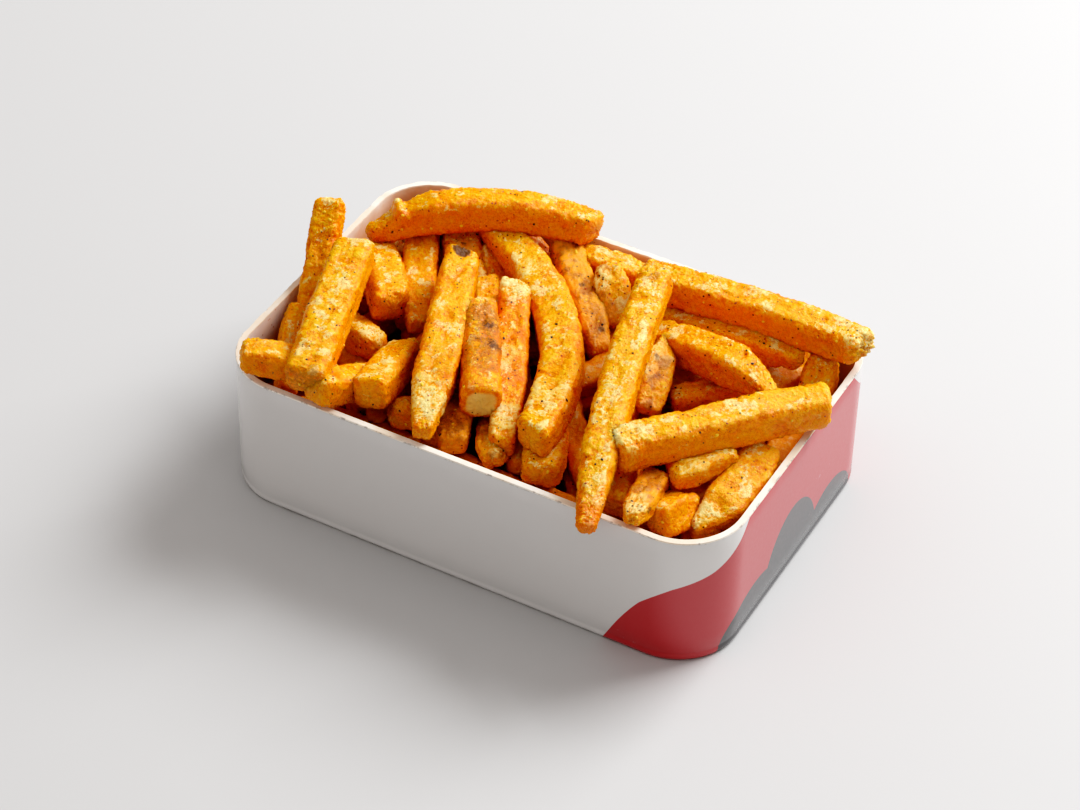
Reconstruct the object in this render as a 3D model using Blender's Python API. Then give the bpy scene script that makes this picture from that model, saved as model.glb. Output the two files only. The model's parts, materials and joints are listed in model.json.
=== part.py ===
# A takeaway carton of seasoned thick-cut fries, at real size in metres.
# X runs along the carton, Y from front to back, Z up. The origin is the middle of the underside.
import math
import random

import bmesh
import bpy
from mathutils import Vector

MM = 0.001

# Carton: a tray of folded board with round corners, straight walls and an open top.
CARTON_LENGTH = 155 * MM
CARTON_DEPTH = 106 * MM
CARTON_HEIGHT = 43 * MM
CORNER_RADIUS = 18.5 * MM
WALL = 2.0 * MM
FLOOR = 1.6 * MM
FOOT_ROUND = 1.2 * MM
RIM_ROUND = 0.6 * MM
ROUND_SHARE = 0.3
CORNER_STEPS = 8
SHARP_ANGLE = 35

# Heap: a core of packed fries up to CORE_TOP, and on it every fry that shows. A fry is drawn
# through rings at shares of its length. It thins towards its tips, and its ends are rounded off.
CORE_GAP = 1.0 * MM
FLOOR_GAP = 0.4 * MM
CORE_TOP = 34 * MM
CORE_CHAMFER = 3 * MM
SECTION_SIDES = 8
SECTION_SQUARENESS = 4.0
RING_PLACES = (0, 0.07, 0.3, 0.5, 0.7, 0.93, 1)
TIP_SHARE = 0.3
END_ROUND = 0.8
UNEVEN_SIZE = 0.05
UNEVEN_LINE = 0.35 * MM

# Bed: a loose layer on the core, around and under the fries that show. Its lanes run from one
# point to another, in millimetres, with fries of one length turned to a heading in degrees.
BED_HEIGHT = 35.5
BED_THICKNESS = (7.6, 9.5)
BED_FLATNESS = 0.9
BED_TIPS = (0.8, 0.85)
BED_RISE = 1
BED_SLOPE = 1.5
BED_TURN = 15
BED_SEED = 11
BED_LANES = {
    "front": dict(first=(-40, -42.5), last=(40, -42.5), count=3, length=44, heading=0, spread=5),
    "front_half": dict(first=(-53, -19), last=(54, -19), count=7, length=42, heading=115, spread=20),
    "back_half": dict(first=(-54, 18), last=(53, 18), count=7, length=42, heading=62, spread=20),
    "back": dict(first=(-40, 42.5), last=(40, 42.5), count=3, length=44, heading=0, spread=5),
    "left_end": dict(first=(-67.5, -15), last=(-67.5, 16), count=2, length=32, heading=90, spread=5),
    "right_end": dict(first=(67.5, -15), last=(67.5, 16), count=2, length=32, heading=90, spread=5),
}

# Each fry that shows, in millimetres: its two ends and the middle of its bend, its width
# and height, the share of its section left at each end, and the turn of its section.
FRIES = {
    "back_long": dict(start=(-69, 16, 48), bend=(-43, 36, 52), end=(-12, 47.5, 49),
                      width=9.6, height=9.6, tips=(0.45, 0.85), turn=10),
    "left_upright": dict(start=(-76, 9, 60), bend=(-70, -10, 43), end=(-63, -29, 26),
                         width=7.8, height=8.2, tips=(0.95, 0.9), turn=0),
    "left_thick": dict(start=(-62, -1, 55), bend=(-54, -28, 53), end=(-47, -53, 50.5),
                       width=11.4, height=9.6, tips=(0.95, 0.95), turn=0),
    "left_corner": dict(start=(-67, -52, 50.5), bend=(-58, -46, 48), end=(-47, -38, 42),
                        width=9, height=8, tips=(0.85, 0.85), turn=0),
    "left_sliver": dict(start=(-70, -19, 43), bend=(-66, -30, 38), end=(-60, -42, 33),
                        width=6.8, height=6.8, tips=(0.8, 0.8), turn=20),
    "left_stub": dict(start=(-66, 17, 40), bend=(-57, 5, 42), end=(-48, -6, 43),
                      width=11, height=10, tips=(0.8, 0.95), turn=8),
    "left_knuckle": dict(start=(-62, -9, 34), bend=(-53, -15, 37), end=(-44, -19, 39),
                         width=9, height=9, tips=(0.9, 0.7), turn=15),
    "front_left_low": dict(start=(-43, -53, 49.5), bend=(-40, -38, 42), end=(-36, -21, 32),
                           width=9.2, height=8.6, tips=(0.9, 0.9), turn=0),
    "front_left_high": dict(start=(-38, -14, 37), bend=(-34, -31, 43), end=(-31, -45, 47),
                            width=10.5, height=9.2, tips=(0.85, 0.95), turn=-12),
    "back_shard": dict(start=(-66, 26, 38), bend=(-58, 17, 34), end=(-50, 7, 30),
                       width=6.5, height=5, tips=(0.5, 0.6), turn=30),
    "back_left_run": dict(start=(-61, 36, 42), bend=(-51, 15, 39), end=(-40, -4, 38),
                          width=10, height=9, tips=(0.95, 0.6), turn=0),
    "back_skin": dict(start=(-53, 40, 42), bend=(-41, 24, 38.5), end=(-26, 5, 35),
                      width=11, height=9, tips=(0.9, 0.9), turn=5),
    "front_long": dict(start=(-37, 16, 50), bend=(-23, -20, 49), end=(-11, -51, 46.5),
                       width=10.5, height=10, tips=(0.85, 0.45), turn=4),
    "middle_chip": dict(start=(-40, 35, 40), bend=(-33, 26, 36), end=(-27, 17, 32),
                        width=8, height=8, tips=(0.8, 0.8), turn=15),
    "banana": dict(start=(-42, 39, 44), bend=(-1, 7, 44), end=(15, -38, 46),
                   width=11, height=10.5, tips=(0.75, 0.8), turn=-6),
    "middle_low": dict(start=(-32, 20, 40), bend=(-23, 6, 38), end=(-14, -9, 35),
                       width=9, height=9, tips=(0.85, 0.9), turn=0),
    "cut_end": dict(start=(-23, 0, 49), bend=(-13, -17, 48), end=(-3, -33, 47),
                    width=11, height=11, tips=(0.85, 1.0), turn=6),
    "crinkled": dict(start=(-20, 16, 46), bend=(-6, -12, 43), end=(7, -39, 40),
                     width=9, height=9, tips=(0.95, 0.7), turn=0),
    "front_nub": dict(start=(-27, -41, 40), bend=(-22, -37, 38), end=(-16, -31, 35),
                      width=7.8, height=7.8, tips=(0.75, 0.9), turn=10),
    "front_brown": dict(start=(-6, -43, 38), bend=(-13, -31, 37), end=(-21, -18, 34),
                        width=9.6, height=9, tips=(0.7, 0.9), turn=0),
    "front_curl": dict(start=(6, -43, 38), bend=(2, -35, 37), end=(-3, -26, 34),
                       width=8.2, height=8, tips=(0.6, 0.9), turn=20),
    "front_blunt": dict(start=(20, -42, 38), bend=(16, -31, 37), end=(10, -19, 34),
                        width=11.5, height=9, tips=(0.85, 0.9), turn=0),
    "overhang": dict(start=(19.5, 25, 59), bend=(30.5, -20, 54), end=(44, -61, 45.5),
                     width=9.6, height=8.6, tips=(0.9, 0.4), turn=0),
    "back_spotted": dict(start=(-21, 45, 43), bend=(-7, 30, 40), end=(9, 13, 37),
                         width=9.6, height=9, tips=(0.85, 0.6), turn=8),
    "back_twig": dict(start=(-35, 45, 40), bend=(-30, 43, 38), end=(-23, 40, 34),
                      width=7, height=7, tips=(0.6, 0.8), turn=0),
    "back_pale": dict(start=(-14.5, 43, 41), bend=(-5, 44, 41), end=(5, 45, 40),
                      width=8, height=7.2, tips=(0.8, 0.8), turn=0),
    "back_peel": dict(start=(-2, 38, 46), bend=(3, 32, 41), end=(8, 26, 36),
                      width=9.6, height=8.6, tips=(0.7, 0.9), turn=-10),
    "right_rim_long": dict(start=(10, 35, 49), bend=(43, 36.5, 50), end=(77, 36, 51),
                           width=10.5, height=10, tips=(0.9, 0.9), turn=0),
    "right_shadow": dict(start=(17, 30, 41), bend=(40, 30.5, 43), end=(62, 30, 44),
                         width=8.2, height=7.8, tips=(0.9, 0.6), turn=0),
    "right_wedge": dict(start=(23, 21, 42), bend=(43, 15, 48), end=(65, 5, 54),
                        width=10.5, height=9.6, tips=(0.9, 0.4), turn=0),
    "right_stub": dict(start=(67, 36, 43), bend=(68, 30, 38), end=(69, 22, 32),
                       width=9.6, height=9.6, tips=(0.75, 0.9), turn=0),
    "right_cross": dict(start=(38.5, -36, 51), bend=(58, -13, 50.5), end=(79, 11, 50),
                        width=10, height=10, tips=(0.9, 0.95), turn=0),
    "right_leaf": dict(start=(27, 16, 48), bend=(30, 5, 44), end=(33, -6, 40),
                       width=8.2, height=6.5, tips=(0.3, 0.9), turn=20),
    "right_low": dict(start=(21, 10, 38), bend=(25, -2, 38), end=(28, -14, 38),
                      width=9, height=9, tips=(0.9, 0.9), turn=0),
    "right_under": dict(start=(36, 4, 37), bend=(46, 12, 38), end=(56, 20, 38),
                        width=8.2, height=8.2, tips=(0.85, 0.9), turn=0),
    "right_pale": dict(start=(54, -31, 44), bend=(58, -22, 44), end=(63, -14, 43.5),
                       width=8.2, height=7.2, tips=(0.6, 0.9), turn=0),
    "corner_wide": dict(start=(68, -5, 41), bend=(68.5, -19, 38.5), end=(67, -33, 36),
                        width=11.5, height=9.5, tips=(0.8, 0.4), turn=12),
    "corner_cube": dict(start=(58, -40, 40), bend=(59.5, -34, 39), end=(61, -27, 36),
                        width=10.5, height=10.5, tips=(0.9, 0.9), turn=20),
    "corner_twist": dict(start=(49, -30, 41), bend=(51, -41, 44), end=(53, -53, 46.5),
                         width=7.8, height=6.4, tips=(0.9, 0.5), turn=0),
    "corner_shadow": dict(start=(36, -25, 38), bend=(39.5, -33, 38), end=(43, -42, 37.5),
                          width=9, height=9, tips=(0.9, 0.85), turn=0),
}


def clear_scene():
    for old in list(bpy.data.objects):
        bpy.data.objects.remove(old, do_unlink=True)


def material(name, colour, roughness):
    made = bpy.data.materials.new(name)
    made.use_nodes = True
    shader = made.node_tree.nodes["Principled BSDF"]
    shader.inputs["Base Color"].default_value = (*colour, 1)
    shader.inputs["Roughness"].default_value = roughness
    shader.inputs["Metallic"].default_value = 0
    return made


def new_object(name, mesh, look=None):
    made = bpy.data.objects.new(name, mesh)
    bpy.context.scene.collection.objects.link(made)
    if look:
        mesh.materials.append(look)
    return made


def mesh_from(name, build):
    """A mesh of what build adds to an empty bmesh, its faces turned outwards."""
    shape = bmesh.new()
    build(shape)
    bmesh.ops.recalc_face_normals(shape, faces=shape.faces)
    mesh = bpy.data.meshes.new(name)
    shape.to_mesh(mesh)
    shape.free()
    return mesh


def tray_outline(inset):
    """The carton's rounded outline, moved inwards by inset, as (x, y) points."""
    radius = CORNER_RADIUS - inset
    middle_x = CARTON_LENGTH / 2 - CORNER_RADIUS
    middle_y = CARTON_DEPTH / 2 - CORNER_RADIUS
    points = []
    for corner, (sx, sy) in enumerate(((1, 1), (-1, 1), (-1, -1), (1, -1))):
        for step in range(CORNER_STEPS + 1):
            angle = math.radians(90) * (corner + step / CORNER_STEPS)
            points.append((sx * middle_x + radius * math.cos(angle),
                           sy * middle_y + radius * math.sin(angle)))
    return points


def stack_of_outlines(shape, levels):
    """Closed skin through tray outlines, given as (inset, height), with both ends filled."""
    rings = [[shape.verts.new((x, y, height)) for x, y in tray_outline(inset)]
             for inset, height in levels]
    skin_between(shape, rings)


def skin_between(shape, rings):
    """Quads from each ring to the next, and a face over the first and the last."""
    for low, high in zip(rings, rings[1:]):
        for i in range(len(low)):
            j = (i + 1) % len(low)
            shape.faces.new((low[i], low[j], high[j], high[i]))
    shape.faces.new(rings[0][::-1])
    shape.faces.new(rings[-1])


def carton_skin(shape):
    top = CARTON_HEIGHT
    stack_of_outlines(shape, (
        (FOOT_ROUND, 0),
        (FOOT_ROUND * ROUND_SHARE, FOOT_ROUND * ROUND_SHARE),
        (0, FOOT_ROUND),
        (0, top - RIM_ROUND),
        (RIM_ROUND * ROUND_SHARE, top - RIM_ROUND * ROUND_SHARE),
        (RIM_ROUND, top),
        (WALL - RIM_ROUND, top),
        (WALL - RIM_ROUND * ROUND_SHARE, top - RIM_ROUND * ROUND_SHARE),
        (WALL, top - RIM_ROUND),
        (WALL, FLOOR),
    ))


def core_skin(shape):
    side = WALL + CORE_GAP
    stack_of_outlines(shape, (
        (side + CORE_GAP, FLOOR + FLOOR_GAP),
        (side, FLOOR + FLOOR_GAP + CORE_GAP),
        (side, CORE_TOP - CORE_CHAMFER),
        (side + CORE_CHAMFER, CORE_TOP),
    ))


def section(width, height, turn):
    """A square with soft corners, as (sideways, upwards) points."""
    power = 2 / SECTION_SQUARENESS
    points = []
    for side in range(SECTION_SIDES):
        angle = 2 * math.pi * (side + 0.5) / SECTION_SIDES
        c, s = math.cos(angle), math.sin(angle)
        across = math.copysign(abs(c) ** power, c) * width / 2
        rise = math.copysign(abs(s) ** power, s) * height / 2
        points.append((across * math.cos(turn) - rise * math.sin(turn),
                       across * math.sin(turn) + rise * math.cos(turn)))
    return points


def fry_skin(shape, start, bend, end, width, height, tips, turn, seed):
    """One fry: a soft square section swept along a bend, a little uneven from ring to ring."""
    chance = random.Random(seed)
    start, bend, end = Vector(start) * MM, Vector(bend) * MM, Vector(end) * MM
    pull = 2 * bend - (start + end) / 2
    rings = []
    for ring, t in enumerate(RING_PLACES):
        middle = (1 - t) ** 2 * start + 2 * t * (1 - t) * pull + t * t * end
        along = (2 * (1 - t) * (pull - start) + 2 * t * (end - pull)).normalized()
        sideways = along.cross(Vector((0, 0, 1))).normalized()
        upwards = sideways.cross(along)
        first, last = max(0, 1 - t / TIP_SHARE), max(0, 1 - (1 - t) / TIP_SHARE)
        size = 1 - (1 - tips[0]) * first - (1 - tips[1]) * last
        size *= chance.uniform(1 - UNEVEN_SIZE, 1 + UNEVEN_SIZE)
        if ring in (0, len(RING_PLACES) - 1):
            size *= END_ROUND
        else:
            middle += sideways * chance.uniform(-UNEVEN_LINE, UNEVEN_LINE)
        points = section(width * MM * size, height * MM * size, math.radians(turn))
        rings.append([shape.verts.new(middle + sideways * x + upwards * y) for x, y in points])
    skin_between(shape, rings)


def bed_fries():
    """The rows of the bed, each fry shifted and turned a little at random."""
    chance = random.Random(BED_SEED)
    rows = {}
    for lane, bed in BED_LANES.items():
        first, last = Vector((*bed["first"], BED_HEIGHT)), Vector((*bed["last"], BED_HEIGHT))
        for number in range(bed["count"]):
            middle = first.lerp(last, number / (bed["count"] - 1))
            middle.z += chance.uniform(-BED_RISE, BED_RISE)
            heading = math.radians(bed["heading"] + chance.uniform(-bed["spread"], bed["spread"]))
            half = Vector((math.cos(heading), math.sin(heading), 0)) * bed["length"] / 2
            half.z = chance.uniform(-BED_SLOPE, BED_SLOPE)
            width = chance.uniform(*BED_THICKNESS)
            rows[f"{lane}_{number}"] = dict(start=middle - half, bend=middle, end=middle + half,
                                            width=width, height=width * BED_FLATNESS,
                                            tips=BED_TIPS,
                                            turn=chance.uniform(-BED_TURN, BED_TURN))
    return rows


def all_fries():
    return FRIES | bed_fries()


def keep_main_shell(mesh):
    """Drops sealed hollows and loose scraps that the union leaves, and keeps the largest shell."""
    shape = bmesh.new()
    shape.from_mesh(mesh)
    left, shells = set(shape.faces), []
    while left:
        shell, border = set(), [left.pop()]
        while border:
            face = border.pop()
            shell.add(face)
            for edge in face.edges:
                for other in edge.link_faces:
                    if other in left:
                        left.remove(other)
                        border.append(other)
        shells.append(shell)
    main = max(shells, key=len)
    bmesh.ops.delete(shape, geom=[f for s in shells if s is not main for f in s], context="FACES")
    shape.to_mesh(mesh)
    shape.free()


def fused(base, collection, solver):
    """base with everything in the collection joined to it by one Boolean union, applied."""
    union = base.modifiers.new("union", "BOOLEAN")
    union.operation = "UNION"
    union.operand_type = "COLLECTION"
    union.collection = collection
    union.solver = solver
    bpy.context.view_layer.update()
    graph = bpy.context.evaluated_depsgraph_get()
    joined = bpy.data.meshes.new_from_object(base.evaluated_get(graph), depsgraph=graph)
    base.modifiers.clear()
    for piece in list(collection.objects):
        bpy.data.objects.remove(piece, do_unlink=True)
    bpy.data.collections.remove(collection)
    base.data = joined
    keep_main_shell(joined)
    return base


def make_carton():
    board = material("board", (0.80, 0.80, 0.78), 0.55)
    carton = new_object("carton", mesh_from("carton", carton_skin), board)
    carton.data.shade_smooth()
    carton.data.set_sharp_from_angle(angle=math.radians(SHARP_ANGLE))
    return carton


def make_heap():
    golden = material("fried_potato", (0.85, 0.42, 0.06), 0.5)
    pieces = bpy.data.collections.new("pieces")
    bpy.context.scene.collection.children.link(pieces)
    for number, row in enumerate(all_fries().values()):
        mesh = mesh_from("fry", lambda shape: fry_skin(shape, seed=number, **row))
        mesh.materials.append(golden)
        pieces.objects.link(bpy.data.objects.new("fry", mesh))
    core = new_object("fries", mesh_from("fries", core_skin), golden)
    return fused(core, pieces, "MANIFOLD")


def main():
    clear_scene()
    make_carton()
    make_heap()


main()
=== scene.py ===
# Looks of the carton of seasoned fries: board, print, fried crust, skin, pepper and spice.
import json
import math
import random

import bmesh
import bpy
from mathutils import Matrix, Vector, noise

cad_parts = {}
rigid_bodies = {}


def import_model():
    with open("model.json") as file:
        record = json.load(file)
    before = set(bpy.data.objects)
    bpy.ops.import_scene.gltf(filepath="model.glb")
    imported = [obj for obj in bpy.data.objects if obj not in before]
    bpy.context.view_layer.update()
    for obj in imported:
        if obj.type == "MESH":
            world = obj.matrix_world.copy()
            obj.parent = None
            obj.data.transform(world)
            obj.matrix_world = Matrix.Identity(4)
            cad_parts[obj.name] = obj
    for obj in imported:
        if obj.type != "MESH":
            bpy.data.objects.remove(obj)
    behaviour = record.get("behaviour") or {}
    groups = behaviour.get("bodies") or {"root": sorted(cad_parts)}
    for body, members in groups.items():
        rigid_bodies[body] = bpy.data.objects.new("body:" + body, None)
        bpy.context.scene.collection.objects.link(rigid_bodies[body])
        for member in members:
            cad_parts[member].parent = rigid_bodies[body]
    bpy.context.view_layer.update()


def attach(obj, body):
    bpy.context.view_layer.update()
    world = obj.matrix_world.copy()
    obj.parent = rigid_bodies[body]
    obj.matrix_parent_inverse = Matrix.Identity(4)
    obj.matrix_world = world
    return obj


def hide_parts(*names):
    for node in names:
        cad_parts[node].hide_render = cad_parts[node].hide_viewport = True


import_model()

mm = 0.001

camera = dict(azimuth=28.08, elevation=40.74, roll=1.456, distance=944.6, target=(-14.86, 22.61, 0),
              lens=108.03, sensor=36)   # degrees and millimetres


class Wire:
    # a node's output in a sum: each operator adds a Math node
    def __init__(self, graph, socket):
        self.graph = graph
        self.socket = socket

    def sum(self, operation, *others, clamp=False):
        settings = {"operation": operation, "use_clamp": clamp}
        return self.graph.wire("ShaderNodeMath", settings, (self, *others))

    def __add__(self, other):
        return self.sum("ADD", other)

    def __sub__(self, other):
        return self.sum("SUBTRACT", other)

    def __rsub__(self, other):
        return self.graph.wire("ShaderNodeMath", {"operation": "SUBTRACT"}, (other, self))

    def __mul__(self, other):
        return self.sum("MULTIPLY", other)

    def __truediv__(self, other):
        return self.sum("DIVIDE", other)

    def __rtruediv__(self, other):
        return self.graph.wire("ShaderNodeMath", {"operation": "DIVIDE"}, (other, self))

    def __pow__(self, other):
        return self.sum("POWER", other)

    def __neg__(self):
        return self.sum("MULTIPLY", -1)

    __radd__ = __add__
    __rmul__ = __mul__

    def abs(self):
        return self.sum("ABSOLUTE")

    def clamp(self):
        return self.sum("ADD", 0, clamp=True)

    def below(self, other):
        return self.sum("MINIMUM", other)

    def above(self, other):
        return self.sum("MAXIMUM", other)

    def step(self, low, high):
        # 0 under low, 1 over high, smooth between
        settings = {"interpolation_type": "SMOOTHSTEP"}
        return self.graph.wire("ShaderNodeMapRange", settings, (self, low, high, 0, 1))

    def parts(self):
        split = self.graph.node("ShaderNodeSeparateXYZ", inputs=(self,))
        return [Wire(self.graph, part) for part in split.outputs]


class Graph:
    # adds nodes to one tree
    def __init__(self, tree):
        self.tree = tree

    def node(self, kind, settings=None, inputs=()):
        made = self.tree.nodes.new(kind)
        for name, value in (settings or {}).items():
            if name == "stops":
                self.setStops(made.color_ramp, value)
            elif name == "easing":
                made.color_ramp.interpolation = value
            else:
                setattr(made, name, value)
        pairs = inputs.items() if isinstance(inputs, dict) else enumerate(inputs)
        for key, value in pairs:
            self.feed(made.inputs[key], value)
        return made

    def wire(self, kind, settings=None, inputs=(), output=0):
        return Wire(self, self.node(kind, settings, inputs).outputs[output])

    def feed(self, socket, value):
        if isinstance(value, Wire):
            self.tree.links.new(value.socket, socket)
        elif value is not None:
            socket.default_value = value

    def setStops(self, ramp, stops):
        while len(ramp.elements) < len(stops):
            ramp.elements.new(1)
        for element, (place, colour) in zip(ramp.elements, stops):
            element.position = place
            element.color = (*colour, 1)

    def vector(self, operation, a, b=None, scale=None):
        inputs = {0: a}
        if b is not None:
            inputs[1] = b
        if scale is not None:
            inputs[3] = scale
        output = 1 if operation == "DISTANCE" else 0
        return self.wire("ShaderNodeVectorMath", {"operation": operation}, inputs, output)

    def scaled(self, a, amount):
        return self.vector("SCALE", a, scale=amount)

    def added(self, a, b):
        return self.vector("ADD", a, b)

    def combine(self, x, y, z):
        return self.wire("ShaderNodeCombineXYZ", None, (x, y, z))

    def noise(self, place, scale, detail=2, roughness=0.5):
        inputs = {"Vector": place, "Scale": scale, "Detail": detail, "Roughness": roughness}
        return self.wire("ShaderNodeTexNoise", None, inputs)

    def cells(self, place, scale, output=0):
        return self.wire("ShaderNodeTexVoronoi", None, {"Vector": place, "Scale": scale}, output)

    def blend(self, amount, a, b):
        # mixes two colours: a at 0, b at 1
        colours = [c if isinstance(c, Wire) else (*c, 1) for c in (a, b)]
        inputs = {0: amount, 6: colours[0], 7: colours[1]}
        return self.wire("ShaderNodeMix", {"data_type": "RGBA"}, inputs, 2)

    def attribute(self, name, output=2):
        return self.wire("ShaderNodeAttribute", {"attribute_name": name}, (), output)


class Shader(Graph):
    # a material with one Principled shader
    def __init__(self, name, **fixed):
        self.material = bpy.data.materials.new(name)
        self.material.use_nodes = True
        super().__init__(self.material.node_tree)
        self.surface = self.tree.nodes["Principled BSDF"]
        for socket, value in fixed.items():
            self.surface.inputs[socket.replace("_", " ")].default_value = value

    def place(self):
        return self.wire("ShaderNodeTexCoord", None, (), 3)    # Object coordinates, in metres

    def paint(self, **links):
        for socket, value in links.items():
            self.feed(self.surface.inputs[socket.replace("_", " ")], value)

    def bump(self, height, strength, distance):
        inputs = {"Strength": strength, "Distance": distance, "Height": height}
        self.paint(Normal=self.wire("ShaderNodeBump", None, inputs))


class Shape(Graph):
    # a Geometry Nodes tree with named inputs
    def __init__(self, name, sockets):
        tree = bpy.data.node_groups.new(name, "GeometryNodeTree")
        super().__init__(tree)
        tree.interface.new_socket("Geometry", in_out="OUTPUT", socket_type="NodeSocketGeometry")
        for label, kind in sockets.items():
            tree.interface.new_socket(label, in_out="INPUT", socket_type="NodeSocket" + kind)
        self.entry = tree.nodes.new("NodeGroupInput")
        self.exit = tree.nodes.new("NodeGroupOutput")

    def given(self, label):
        return Wire(self, self.entry.outputs[label])

    def keep(self, mesh, label, value, kind="FLOAT"):
        # stores a named attribute on the points
        settings = {"data_type": kind, "domain": "POINT"}
        inputs = {"Geometry": mesh, "Name": label, "Value": value}
        return self.wire("GeometryNodeStoreNamedAttribute", settings, inputs)

    def kept(self, label, kind="FLOAT"):
        return self.wire("GeometryNodeInputNamedAttribute", {"data_type": kind}, {"Name": label})

    def finish(self, mesh):
        whole = self.wire("GeometryNodeRealizeInstances", None, {0: mesh})
        inputs = {"Geometry": whole, "Material": self.given("Material")}
        self.feed(self.exit.inputs["Geometry"], self.wire("GeometryNodeSetMaterial", None, inputs))
        return self


def placed(name, data, home=None):
    holder = bpy.data.objects.new(name, data)
    (home or bpy.context.scene.collection).objects.link(holder)
    return holder


def solid(name, shape, *materials):
    # an object from a finished bmesh
    mesh = bpy.data.meshes.new(name)
    shape.to_mesh(mesh)
    shape.free()
    for material in materials:
        mesh.materials.append(material)
    return placed(name, mesh)


def shaped(name, shape, values, home=None):
    # an object whose mesh a tree makes from the named values
    host = placed(name, bpy.data.meshes.new(name), home)
    modifier = host.modifiers.new("shape", "NODES")
    modifier.node_group = shape.tree
    for socket in shape.tree.interface.items_tree:
        if socket.in_out == "INPUT" and socket.name in values:
            value = values[socket.name]
            if socket.socket_type == "NodeSocketFloat":
                value = float(value)
            modifier[socket.identifier] = value
    return host


def plain(host):
    # turns the tree's result into the object's own mesh
    bpy.context.view_layer.update()
    graph = bpy.context.evaluated_depsgraph_get()
    mesh = bpy.data.meshes.new_from_object(host.evaluated_get(graph), depsgraph=graph)
    host.modifiers.clear()
    host.data = mesh
    mesh.name = host.name
    return host


def addToPart(piece, node):
    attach(piece, "root")
    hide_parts(node)
    print("piece", piece.name, len(piece.data.polygons), "faces")


carton = dict(length=155, depth=106, height=43, radius=18.5, wall=2.0, floor=1.6, foot=1.2,
              cornerSteps=26, edgeStep=1.1, rimRound=0.35, rimRagged=0.16, seed=4,
              crease=2.6, creaseDepth=0.18, creaseHalf=0.5, bulge=0.25, crown=0.04,
              wallSteps=8, innerSteps=6, sharpAngle=50)   # millimetres and degrees


def trayOutline(inset):
    # points (x, y, way round) of the rounded outline; the way round is 0 at the right end's middle
    radius = carton["radius"]
    halfX, halfY = carton["length"] / 2 - radius, carton["depth"] / 2 - radius
    arc = radius * math.pi / 2
    corners = ((1, 1), (-1, 1), (-1, -1), (1, -1))
    sides = ((0, halfY), (halfX, halfX), (halfY, halfY), (halfX, halfX), (halfY, 0))
    points, way = [], 0.0
    for side, (before, after) in enumerate(sides):
        length = before + after
        angle = math.radians(90 * side)
        normal = Vector((math.cos(angle), math.sin(angle)))
        along = Vector((-normal.y, normal.x))
        reach = carton["length"] / 2 if side % 2 == 0 else carton["depth"] / 2
        steps = max(2, round(length / carton["edgeStep"]))
        for step in range(steps):
            t = step / steps * length - before
            place = normal * (reach - inset) + along * t
            points.append((place.x, place.y, way + t + before))
        way += length
        if side < 4:
            cx, cy = corners[side][0] * halfX, corners[side][1] * halfY
            for step in range(carton["cornerSteps"]):
                turn = angle + math.pi / 2 * step / carton["cornerSteps"]
                points.append((cx + (radius - inset) * math.cos(turn),
                               cy + (radius - inset) * math.sin(turn),
                               way + arc * step / carton["cornerSteps"]))
            way += arc
    return points, way


def makeCarton():
    height, wall, foot = carton["height"], carton["wall"], carton["foot"]
    rim, crease, half = carton["rimRound"], carton["crease"], carton["creaseHalf"]
    top, outerSteps, innerSteps = height - rim, carton["wallSteps"], carton["innerSteps"]
    # inset, height, and how far the cut edge's raggedness moves the ring
    rings = [(foot, 0, 0), (foot * 0.3, foot * 0.3, 0), (0, foot, 0), (0, crease - half, 0),
             (carton["creaseDepth"], crease, 0), (0, crease + half, 0)]
    rings += [(0, crease + half + (top - crease - half) * k / outerSteps, 0) for k in range(1, outerSteps)]
    outerRings = len(rings) + 1
    rings += [(0, top, 0.4), (rim * 0.4, height, 1), (wall * 0.5, height + carton["crown"], 0.6),
              (wall - rim * 0.4, height, 0.8), (wall, top, 0.3)]
    rimRings = len(rings)
    rings += [(wall, top - (top - carton["floor"]) * k / innerSteps, 0) for k in range(1, innerSteps)]
    rings += [(wall, carton["floor"], 0)]
    shape = bmesh.new()
    wayLayer = shape.loops.layers.uv.new("print")
    insetLayer = shape.verts.layers.float.new("inset")
    loops = []
    for inset, z, ragged in rings:
        outline, whole = trayOutline(inset)
        ring = []
        for x, y, way in outline:
            swell = carton["bulge"] * noise.noise((x * 0.016, y * 0.016, carton["seed"]))
            swell *= math.sin(math.pi * min(1, max(0, z / height)) * 0.5)
            rough = carton["rimRagged"] * ragged * noise.noise((x * 0.8, y * 0.8, z * 0.5 + 7))
            outwards = Vector((x, y)).normalized() * (swell + rough)
            point = shape.verts.new(((x + outwards.x) * mm, (y + outwards.y) * mm,
                                     (z + rough * 0.7) * mm))
            point[insetLayer] = inset / wall
            ring.append(point)
        loops.append((ring, [way for x, y, way in outline], z))
    count = len(loops[0][0])
    for level in range(len(loops) - 1):
        (low, ways, zLow), (high, _, zHigh) = loops[level], loops[level + 1]
        for i in range(count):
            j = (i + 1) % count
            face = shape.faces.new((low[i], low[j], high[j], high[i]))
            nextWay = ways[j] if j else whole
            for corner, uv in zip(face.loops, ((ways[i], zLow), (nextWay, zLow),
                                               (nextWay, zHigh), (ways[i], zHigh))):
                corner[wayLayer].uv = uv
            face.material_index = 0 if level < outerRings - 1 else 1 if level < rimRings - 1 else 2
            face.smooth = True
    ends = [shape.faces.new(loops[0][0][::-1]), shape.faces.new(loops[-1][0])]
    for face in ends:
        face.material_index = 2
    bmesh.ops.triangulate(shape, faces=ends)
    board = solid("cartonBoard", shape, printedBoard(), cutEdge(), innerBoard())
    board.data.set_sharp_from_angle(angle=math.radians(carton["sharpAngle"]))
    addToPart(board, "carton")


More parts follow.
